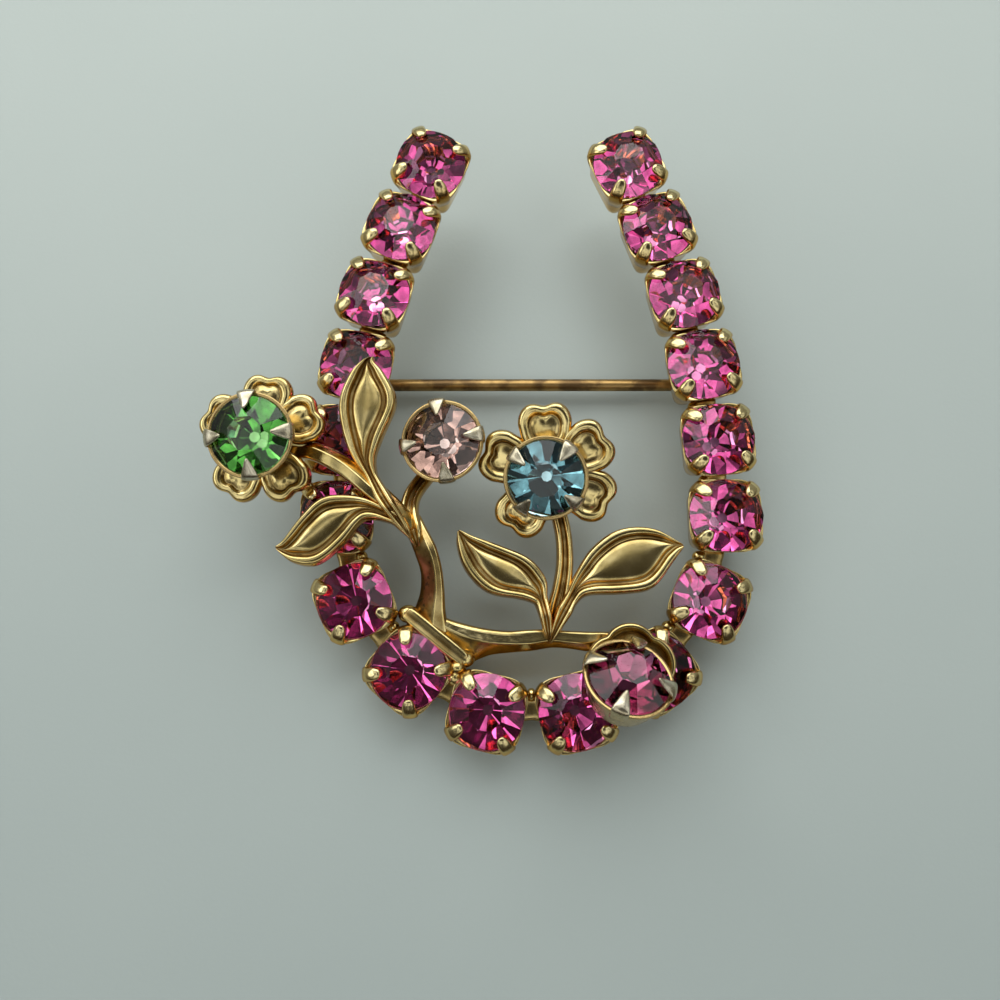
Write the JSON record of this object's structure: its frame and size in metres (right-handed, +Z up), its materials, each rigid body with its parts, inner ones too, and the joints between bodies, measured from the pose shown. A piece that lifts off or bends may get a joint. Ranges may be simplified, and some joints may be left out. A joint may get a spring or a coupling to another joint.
{
  "type": "horseshoe brooch",
  "caption": "Gold-coloured horseshoe brooch of box-set round pink stones with a cast flower spray of coloured stones inside it and a hinged pin stem behind.",
  "frame": {"origin": "middle of the bounding box in X and Y, on the surface the brooch lies on", "axes": "+Z up out of the surface, +Y towards the horseshoe's open end, +X to the right as seen from above"},
  "size_m": [0.0394, 0.0468, 0.0108],
  "materials": {
    "gold": "polished, worn and tarnished in the hollows",
    "silver": "polished, slightly tarnished",
    "brown_brass": "tarnished",
    "pink_glass": "cut and foiled",
    "rose_glass": "cut and foiled",
    "green_glass": "cut and foiled",
    "blue_glass": "cut and foiled"
  },
  "bodies": {
    "brooch": {"blue_flower_petals": "gold", "blue_setting": "silver", "blue_stone": "blue_glass", "green_flower_petals": "gold", "green_setting": "silver", "green_stone": "green_glass", "horseshoe_frame": "gold", "joint_rivet": "brown_brass", "pink_setting": "silver", "pink_stone": "pink_glass", "rose_setting": "silver", "rose_stone": "rose_glass", "row_stone_l1": "pink_glass", "row_stone_l2": "pink_glass", "row_stone_l3": "pink_glass", "row_stone_l4": "pink_glass", "row_stone_l5": "pink_glass", "row_stone_l6": "pink_glass", "row_stone_l7": "pink_glass", "row_stone_l8": "pink_glass", "row_stone_l9": "pink_glass", "row_stone_r1": "pink_glass", "row_stone_r2": "pink_glass", "row_stone_r3": "pink_glass", "row_stone_r4": "pink_glass", "row_stone_r5": "pink_glass", "row_stone_r6": "pink_glass", "row_stone_r7": "pink_glass", "row_stone_r8": "pink_glass", "row_stone_r9": "pink_glass"},
    "pin": {"pin_stem": "brown_brass"}
  },
  "joints": [
    {"name": "pin_hinge", "type": "hinge", "parent": "brooch", "child": "pin", "pos_m": [-0.00934, 0.00452, 0.00129], "axis": [0, 0.856, 0.517], "range_deg": [0, 90]}
  ]
}
